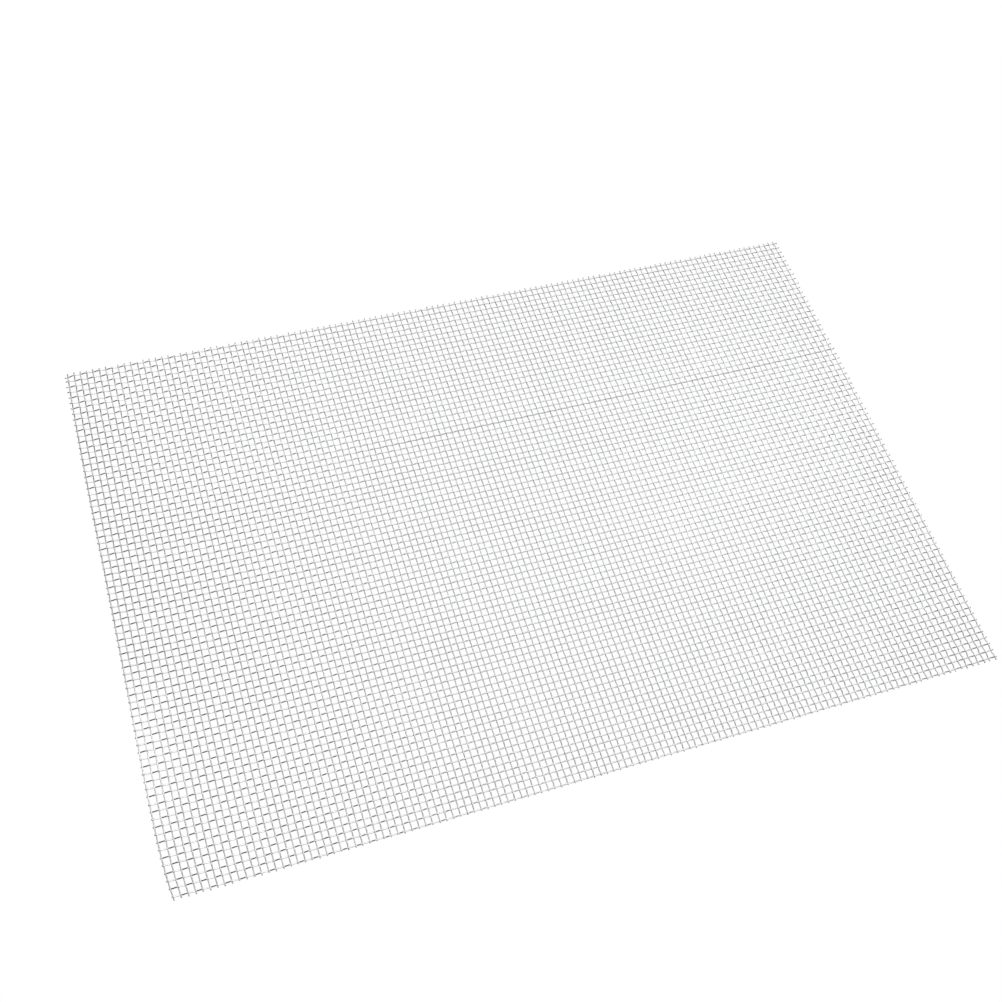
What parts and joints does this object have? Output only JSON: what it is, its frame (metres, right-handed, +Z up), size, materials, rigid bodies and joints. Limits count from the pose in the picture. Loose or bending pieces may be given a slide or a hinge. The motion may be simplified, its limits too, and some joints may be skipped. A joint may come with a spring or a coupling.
{
  "type": "wire gauze",
  "caption": "Flat raw-cut rectangular sheet of plain-weave bright steel wire gauze, open mesh, used as a screen, a sieve or a heat-spreading support.",
  "frame": {"origin": "centre of the sheet's underside, on the surface that it lies on", "axes": "+X along the long side and the warp wires, +Y along the short side and the weft wires, +Z up"},
  "size_m": [0.3, 0.2, 0.0009],
  "materials": {
    "steel_wire": "bright drawn wire, uncoated"
  },
  "bodies": {
    "root": {"warp_wires": "steel_wire", "weft_wires": "steel_wire"}
  },
  "joints": []
}
